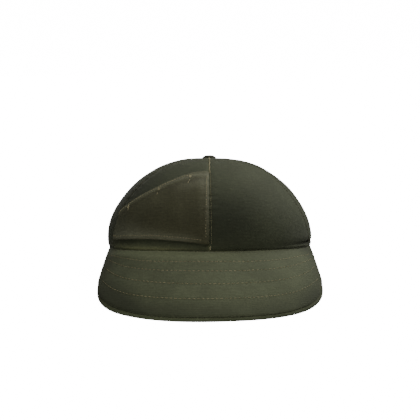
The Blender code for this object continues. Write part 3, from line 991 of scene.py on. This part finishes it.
def thread(name, colour):
    """Twisted cotton, a little fuzzy and uneven along its length."""
    material = bpy.data.materials.new(name)
    material.use_nodes = True
    shader = material.node_tree.nodes["Principled BSDF"]
    start = Shade(material.node_tree)
    place = start.node("ShaderNodeTexCoord", {}, {}, output=3)
    sockets = {"Vector": place, "Scale": FUZZ_SCALE, "Detail": THREAD_DETAIL}
    fuzz = start.node("ShaderNodeTexNoise", {}, sockets)
    sockets = {"Vector": place, "Scale": DULL_SCALE, "Detail": THREAD_DETAIL}
    dull = start.node("ShaderNodeTexNoise", {}, sockets)
    shade = (fuzz * 0.5 + dull * 0.5).between(*THREAD_RANGE)
    dark = tuple(DULL_SHARE * value for value in colour)
    tint = shade.paint((*dark, 1.0), (*colour, 1.0))
    strength, distance = THREAD_BUMP
    sockets = {"Strength": strength, "Distance": distance, "Height": fuzz}
    bump = start.node("ShaderNodeBump", {}, sockets)
    material.node_tree.links.new(tint.socket, shader.inputs["Base Color"])
    material.node_tree.links.new(bump.socket, shader.inputs["Normal"])
    shader.inputs["Roughness"].default_value = THREAD_ROUGHNESS
    shader.inputs["Specular IOR Level"].default_value = THREAD_SPECULAR
    return material


# How unevenly a stitch is set: its skew, and the range of its length and its width; and
# how far its middle stands out of the cloth, as a share of its width
STITCH_SKEW = 0.05
LENGTH_RANGE = (0.9, 1.06)
WIDTH_RANGE = (0.88, 1.08)
STITCH_LIFT = 0.12


def at_way(way, values, spot):
    return np.array([np.interp(spot, way, values[:, k]) for k in range(3)])


def sew(name, lines, stitch, material):
    """Stitches in a row along each line, joined into one piece of thread."""
    length, gap, width = stitch
    places_made, faces_made = [], []
    random = np.random.default_rng(len(name))
    for spots, out in lines:
        steps = np.linalg.norm(np.diff(spots, axis=0), axis=1)
        way = np.concatenate([[0.0], np.cumsum(steps)])
        count = max(int(way[-1] / (length + gap)), 1)
        pitch = way[-1] / count
        for number in range(count):
            middle_way = (number + 0.5) * pitch
            near = at_way(way, spots, middle_way - length / 2)
            far = at_way(way, spots, middle_way + length / 2)
            normal = at_way(way, out, middle_way)
            ahead = (far - near) / np.linalg.norm(far - near)
            normal -= ahead * (ahead @ normal)
            normal /= np.linalg.norm(normal)
            aside = np.cross(normal, ahead)
            ahead = ahead + aside * random.normal(0.0, STITCH_SKEW)
            long = length * random.uniform(*LENGTH_RANGE)
            form = stitch_places * (long, width * random.uniform(*WIDTH_RANGE), width)
            turned = form @ np.array([ahead, aside, normal])
            start_index = len(stitch_places) * len(places_made)
            places_made.append(turned + (near + far) / 2 + normal * STITCH_LIFT * width)
            faces_made += [[start_index + corner for corner in face] for face in stitch_faces]
    mesh = bpy.data.meshes.new(name)
    mesh.from_pydata(np.concatenate(places_made).tolist(), [], faces_made)
    mesh.materials.append(material)
    mesh.shade_smooth()
    piece = bpy.data.objects.new(name, mesh)
    bpy.context.scene.collection.objects.link(piece)
    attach(piece, "root")


tan_thread = thread("tan_thread", (0.32, 0.29, 0.16))
pale_thread = thread("pale_thread", (0.36, 0.33, 0.19))
dull_thread = thread("dull_thread", (0.125, 0.124, 0.075))

# Length, gap and width of each kind of stitch
QUILT_STITCH = (0.0023, 0.0012, 0.00052)
LIP_STITCH = (0.0012, 0.0009, 0.00066)
PATCH_STITCH = (0.0013, 0.0009, 0.00062)
TACK_STITCH = (0.0030, 0.0001, 0.0010)
TACK_END_STITCH = (0.0024, 0.0000, 0.0006)
WHIP_STITCH = (0.0017, 0.0002, 0.0011)
PATCH_SEAM_STITCH = (0.0008, 0.0007, 0.00045)
CROWN_STITCH = (0.0019, 0.0009, 0.00040)

# The four quilted rows of the peak, each running out close to the peak's side edges
QUILT_ENDS = (0.0800, 0.0815, 0.0830, 0.0850)
QUILT_POINTS = 241
peak_tree = cloth_tree(bpy.data.objects["peak_top_cloth"])
lines = []
for row, end in zip(QUILT_ROWS, QUILT_ENDS):
    x = np.linspace(-end, end, QUILT_POINTS)
    lines.append(drop_on(peak_tree, x, quilt_line(row, x)))
sew("peak_quilting", lines, QUILT_STITCH, tan_thread)

# Along the patch's lip, beside its upright fold, and along its lower edge
LIP_LINE_DEPTH = 0.45
LOW_LINE_RISE = 0.024
LOW_LINE_START = 6
UPRIGHT_LINE_TURN = math.radians(-1.7)
UPRIGHT_LINE_ENDS = (0.125, 0.57)
LIP_POINTS = 160
UPRIGHT_POINTS = 90

patch_tree = cloth_tree(patch)
share = np.linspace(0.025, 0.985, LIP_POINTS)
turn = -share * PATCH_TURN
low, high, lip = patch_edges(share)
high -= LIP_SAG * (1.0 - share)
lip_line = press_on(patch_tree, crown_spot(turn, high - LIP_LINE_DEPTH * lip))
low_rise = low[LOW_LINE_START:] + LOW_LINE_RISE
low_line = press_on(patch_tree, crown_spot(turn[LOW_LINE_START:], low_rise))
rise = np.linspace(*UPRIGHT_LINE_ENDS, UPRIGHT_POINTS)
turn = np.full(UPRIGHT_POINTS, UPRIGHT_LINE_TURN)
upright_line = press_on(patch_tree, crown_spot(turn, rise))
sew("lip_stitches", (lip_line,), LIP_STITCH, tan_thread)
sew("patch_stitches", (low_line, upright_line), PATCH_STITCH, tan_thread)

# Turn in degrees and share of the way up at both ends of each thread of the lip's tacks
TACKS = (
    ((-13.8, 0.574), (-12.8, 0.537)),
    ((-12.2, 0.572), (-12.7, 0.537)),
    ((-32.0, 0.469), (-31.0, 0.443)),
    ((-30.3, 0.469), (-30.9, 0.443)),
    ((-48.2, 0.337), (-47.6, 0.317)),
    ((-49.4, 0.322), (-47.7, 0.315)),
)
TACK_ENDS = (
    ((-12.8, 0.535), (-13.3, 0.499)),
    ((-30.9, 0.441), (-30.6, 0.411)),
    ((-47.6, 0.315), (-47.3, 0.298)),
)
TACK_POINTS = 7


def tack_lines(tacks):
    found = []
    for (first_turn, first_rise), (last_turn, last_rise) in tacks:
        turn = np.radians(np.linspace(first_turn, last_turn, TACK_POINTS))
        rise = np.linspace(first_rise, last_rise, TACK_POINTS)
        found.append(press_on(patch_tree, crown_spot(turn, rise)))
    return found


sew("patch_tacks", tack_lines(TACKS), TACK_STITCH, pale_thread)
sew("tack_ends", tack_lines(TACK_ENDS), TACK_END_STITCH, tan_thread)

# The whipped middle seam, pale where it is bare above the patch and at the rim
WHIPPED_RISES = ((0.607, 0.925), (0.012, 0.075))
BESIDE_PATCH_TURN = math.radians(0.45)
BESIDE_PATCH_ENDS = (0.085, 0.602)
WHIPPED_POINTS = 60
BESIDE_PATCH_POINTS = 120

left_tree = cloth_tree(gores["front_panel_left"])
seam_lines = []
for ends in WHIPPED_RISES:
    rise = np.linspace(*ends, WHIPPED_POINTS)
    spots = crown_spot(np.zeros(WHIPPED_POINTS), rise)
    seam_lines.append(press_on(left_tree, spots))
sew("middle_seam_whipping", seam_lines, WHIP_STITCH, pale_thread)
turn = np.full(BESIDE_PATCH_POINTS, BESIDE_PATCH_TURN)
rise = np.linspace(*BESIDE_PATCH_ENDS, BESIDE_PATCH_POINTS)
beside_patch = press_on(left_tree, crown_spot(turn, rise))
sew("patch_seam_stitches", (beside_patch,), PATCH_SEAM_STITCH, tan_thread)

# Dull green rows down the five other seams that run from rim to button, and the hem.
# For each gore, the turns of its front and its back row before they are set in
STITCHED_GORES = (
    ("side_panel_left", (62.4, 120.5)),
    ("side_panel_right", (-57.9, -120.5)),
    ("back_panel_left", (121.5, 179.4)),
    ("back_panel_right", (-121.5, -179.4)),
)
ROW_INSET = 0.0011
ROW_ENDS = (0.03, 0.93)
HEM_RISE = 0.075
ROW_POINTS = 160
HEM_POINTS = 120

seam_lines = []
for node, turns in STITCHED_GORES:
    tree = cloth_tree(gores[node])
    for degrees, backwards in zip(turns, (1.0, -1.0)):
        rise = np.linspace(*ROW_ENDS, ROW_POINTS)
        turn = np.full(ROW_POINTS, math.radians(degrees))
        inset = backwards * math.copysign(ROW_INSET, degrees)
        radius = np.hypot(*crown_spot(turn, rise).T[:2])
        seam_lines.append(press_on(tree, crown_spot(turn + inset / radius, rise)))
    turn = np.radians(np.linspace(*turns, HEM_POINTS))
    seam_lines.append(press_on(tree, crown_spot(turn, np.full(HEM_POINTS, HEM_RISE))))
sew("crown_stitches", seam_lines, CROWN_STITCH, dull_thread)
